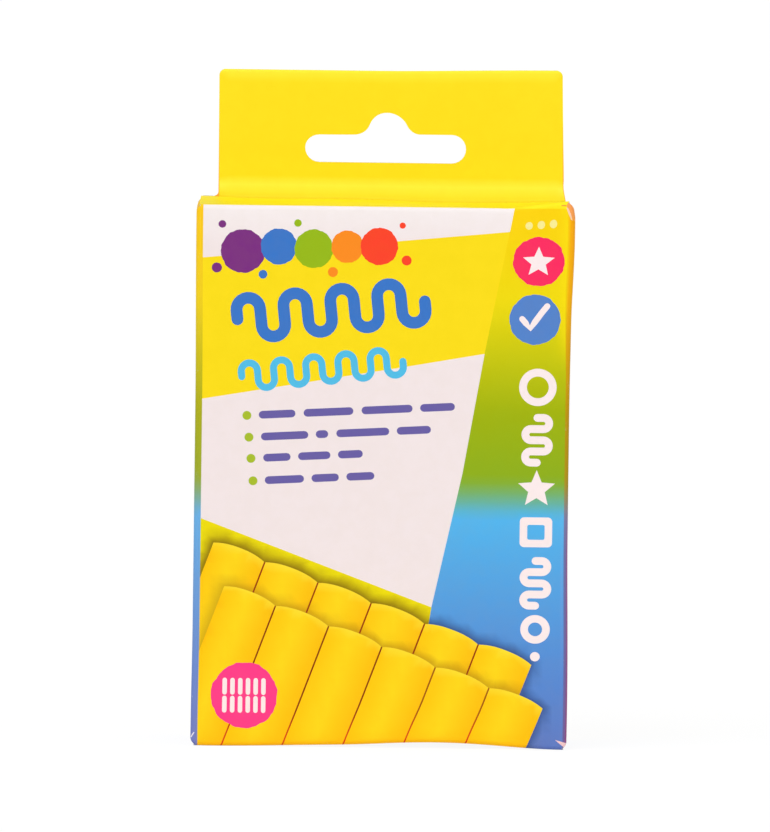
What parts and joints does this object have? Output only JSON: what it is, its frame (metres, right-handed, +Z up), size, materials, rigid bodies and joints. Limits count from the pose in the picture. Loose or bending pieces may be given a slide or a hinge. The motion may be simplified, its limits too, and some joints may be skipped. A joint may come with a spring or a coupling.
{
  "type": "hang tab carton of chalk sticks",
  "caption": "Upright paperboard carton with a hang tab and slot, tuck flaps at both ends, holding two rows of round chalk sticks.",
  "frame": {"origin": "centre of the base, on the surface that the carton stands on", "axes": "+Z up along the carton's height to the hang tab, front panel towards -Y, +X to the right as seen from the front"},
  "size_m": [0.06, 0.0222, 0.1077],
  "materials": {
    "printed_board": "printed coated paperboard, semi-gloss outside and grey-white raw board inside",
    "chalk": "dry moulded yellow chalk, matt and dusty"
  },
  "bodies": {
    "carton_body": {"carton": "printed_board", "chalk_stick_01": "chalk", "chalk_stick_02": "chalk", "chalk_stick_03": "chalk", "chalk_stick_04": "chalk", "chalk_stick_05": "chalk", "chalk_stick_06": "chalk", "chalk_stick_07": "chalk", "chalk_stick_08": "chalk", "chalk_stick_09": "chalk", "chalk_stick_10": "chalk", "chalk_stick_11": "chalk", "chalk_stick_12": "chalk"},
    "lid_body": {"lid": "printed_board"},
    "bottom_flap_body": {"bottom_flap": "printed_board"}
  },
  "joints": [
    {"name": "lid_hinge", "type": "hinge", "parent": "carton_body", "child": "lid_body", "pos_m": [0, -0.01086, 0.0868], "axis": [1, 0, 0], "range_deg": [0, 170]},
    {"name": "bottom_flap_hinge", "type": "hinge", "parent": "carton_body", "child": "bottom_flap_body", "pos_m": [0, -0.01086, 0.0002], "axis": [-1, 0, 0], "range_deg": [0, 170]}
  ]
}
